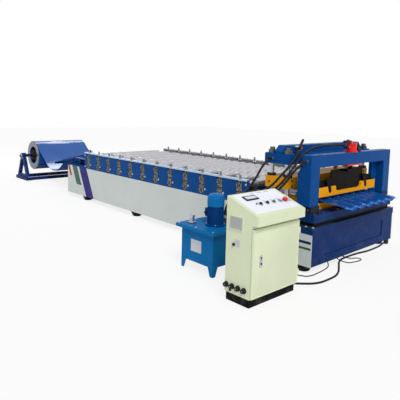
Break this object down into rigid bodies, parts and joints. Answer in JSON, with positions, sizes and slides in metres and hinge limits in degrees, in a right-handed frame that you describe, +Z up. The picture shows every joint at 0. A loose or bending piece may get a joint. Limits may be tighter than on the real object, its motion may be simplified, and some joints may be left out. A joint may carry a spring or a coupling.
{
  "type": "roll forming machine for wave profiled roof sheet",
  "caption": "Roll forming line with decoiler, twelve roll stands, step press, cutter, hydraulic station and control cabinet.",
  "frame": {"origin": "on the floor under the middle of the line's outline, cables left out", "axes": "+X along the line towards the exit, +Y away from the operator's side, +Z up"},
  "size_m": [8.6526, 3.07, 1.3934],
  "materials": {
    "navy_paint": "semi gloss",
    "white_panel": "satin",
    "black_paint": "satin",
    "blue_paint": "semi gloss",
    "bright_steel": "satin",
    "roll_chrome": "fine turned",
    "coated_strip": "gloss",
    "orange_paint": "semi gloss",
    "red_paint": "gloss",
    "azure_paint": "semi gloss",
    "motor_blue": "semi gloss",
    "cream_paint": "satin",
    "lilac_panel": "satin",
    "hose_rubber": "satin",
    "black_plastic": "matte"
  },
  "bodies": {
    "line": {"bed_rails": "navy_paint", "bed_cross_members": "navy_paint", "exit_deck": "navy_paint", "decoiler_base": "navy_paint", "decoiler_stands": "navy_paint", "bed_side_panels": "white_panel", "levelling_feet": "black_paint", "press_cylinders": "black_paint", "cabinet_plinth": "black_paint", "near_side_plate": "blue_paint", "far_side_plate": "blue_paint", "bed_end_plates": "blue_paint", "infeed_table": "blue_paint", "press_crown": "blue_paint", "cutter_platform": "blue_paint", "cutter_columns": "blue_paint", "cutter_beam": "blue_paint", "bearing_blocks": "bright_steel", "pressure_bars": "bright_steel", "adjusting_screws": "bright_steel", "press_pillars": "bright_steel", "hydraulic_fittings": "bright_steel", "bottom_rolls": "roll_chrome", "steel_strip": "coated_strip", "formed_sheet": "coated_strip", "press_lower_die": "orange_paint", "lower_knife": "orange_paint", "cutter_cylinder": "red_paint", "tank_body": "azure_paint", "tank_lid": "azure_paint", "pump_motor": "motor_blue", "cabinet_shell": "cream_paint", "cabinet_console": "lilac_panel", "hose_1": "hose_rubber", "hose_2": "hose_rubber", "hose_3": "hose_rubber", "hose_4": "hose_rubber", "cable_1": "hose_rubber", "cable_2": "hose_rubber", "cable_3": "hose_rubber", "console_controls": "black_plastic", "cable_sockets": "black_plastic"},
    "reel": {"reel_mandrel": "black_paint", "steel_coil": "coated_strip"},
    "press_die": {"press_upper_die": "orange_paint"},
    "knife": {"cutter_knife": "orange_paint"},
    "door": {"cabinet_door": "cream_paint"},
    "top_roll_01_body": {"top_roll_01": "roll_chrome"},
    "top_roll_02_body": {"top_roll_02": "roll_chrome"},
    "top_roll_03_body": {"top_roll_03": "roll_chrome"},
    "top_roll_04_body": {"top_roll_04": "roll_chrome"},
    "top_roll_05_body": {"top_roll_05": "roll_chrome"},
    "top_roll_06_body": {"top_roll_06": "roll_chrome"},
    "top_roll_07_body": {"top_roll_07": "roll_chrome"},
    "top_roll_08_body": {"top_roll_08": "roll_chrome"},
    "top_roll_09_body": {"top_roll_09": "roll_chrome"},
    "top_roll_10_body": {"top_roll_10": "roll_chrome"},
    "top_roll_11_body": {"top_roll_11": "roll_chrome"},
    "top_roll_12_body": {"top_roll_12": "roll_chrome"}
  },
  "joints": [
    {"name": "reel_spin", "type": "hinge", "parent": "line", "child": "reel", "pos_m": [-3.988, 0.585, 0.56], "axis": [0, 1, 0], "continuous": true},
    {"name": "press_ram", "type": "slide", "parent": "line", "child": "press_die", "axis": [0, 0, 1], "range_m": [-0.06, 0]},
    {"name": "knife_ram", "type": "slide", "parent": "line", "child": "knife", "axis": [0, 0, 1], "range_m": [-0.03, 0]},
    {"name": "cabinet_door_hinge", "type": "hinge", "parent": "line", "child": "door", "pos_m": [4.265, -0.813, 0.4], "axis": [0, 0, 1], "range_deg": [0, 110]},
    {"name": "top_roll_01_spin", "type": "hinge", "parent": "line", "child": "top_roll_01_body", "pos_m": [-0.707, 0.585, 0.825], "axis": [0, 1, 0], "continuous": true},
    {"name": "top_roll_02_spin", "type": "hinge", "parent": "line", "child": "top_roll_02_body", "pos_m": [-0.367, 0.585, 0.825], "axis": [0, 1, 0], "continuous": true},
    {"name": "top_roll_03_spin", "type": "hinge", "parent": "line", "child": "top_roll_03_body", "pos_m": [-0.027, 0.585, 0.825], "axis": [0, 1, 0], "continuous": true},
    {"name": "top_roll_04_spin", "type": "hinge", "parent": "line", "child": "top_roll_04_body", "pos_m": [0.313, 0.585, 0.825], "axis": [0, 1, 0], "continuous": true},
    {"name": "top_roll_05_spin", "type": "hinge", "parent": "line", "child": "top_roll_05_body", "pos_m": [0.653, 0.585, 0.825], "axis": [0, 1, 0], "continuous": true},
    {"name": "top_roll_06_spin", "type": "hinge", "parent": "line", "child": "top_roll_06_body", "pos_m": [0.993, 0.585, 0.825], "axis": [0, 1, 0], "continuous": true},
    {"name": "top_roll_07_spin", "type": "hinge", "parent": "line", "child": "top_roll_07_body", "pos_m": [1.333, 0.585, 0.825], "axis": [0, 1, 0], "continuous": true},
    {"name": "top_roll_08_spin", "type": "hinge", "parent": "line", "child": "top_roll_08_body", "pos_m": [1.673, 0.585, 0.825], "axis": [0, 1, 0], "continuous": true},
    {"name": "top_roll_09_spin", "type": "hinge", "parent": "line", "child": "top_roll_09_body", "pos_m": [2.013, 0.585, 0.825], "axis": [0, 1, 0], "continuous": true},
    {"name": "top_roll_10_spin", "type": "hinge", "parent": "line", "child": "top_roll_10_body", "pos_m": [2.353, 0.585, 0.825], "axis": [0, 1, 0], "continuous": true},
    {"name": "top_roll_11_spin", "type": "hinge", "parent": "line", "child": "top_roll_11_body", "pos_m": [2.693, 0.585, 0.825], "axis": [0, 1, 0], "continuous": true},
    {"name": "top_roll_12_spin", "type": "hinge", "parent": "line", "child": "top_roll_12_body", "pos_m": [3.033, 0.585, 0.825], "axis": [0, 1, 0], "continuous": true}
  ],
  "couplings": [
    {"joint": "top_roll_02_spin", "follows": "top_roll_01_spin", "ratio": 1},
    {"joint": "top_roll_03_spin", "follows": "top_roll_01_spin", "ratio": 1},
    {"joint": "top_roll_04_spin", "follows": "top_roll_01_spin", "ratio": 1},
    {"joint": "top_roll_05_spin", "follows": "top_roll_01_spin", "ratio": 1},
    {"joint": "top_roll_06_spin", "follows": "top_roll_01_spin", "ratio": 1},
    {"joint": "top_roll_07_spin", "follows": "top_roll_01_spin", "ratio": 1},
    {"joint": "top_roll_08_spin", "follows": "top_roll_01_spin", "ratio": 1},
    {"joint": "top_roll_09_spin", "follows": "top_roll_01_spin", "ratio": 1},
    {"joint": "top_roll_10_spin", "follows": "top_roll_01_spin", "ratio": 1},
    {"joint": "top_roll_11_spin", "follows": "top_roll_01_spin", "ratio": 1},
    {"joint": "top_roll_12_spin", "follows": "top_roll_01_spin", "ratio": 1}
  ]
}
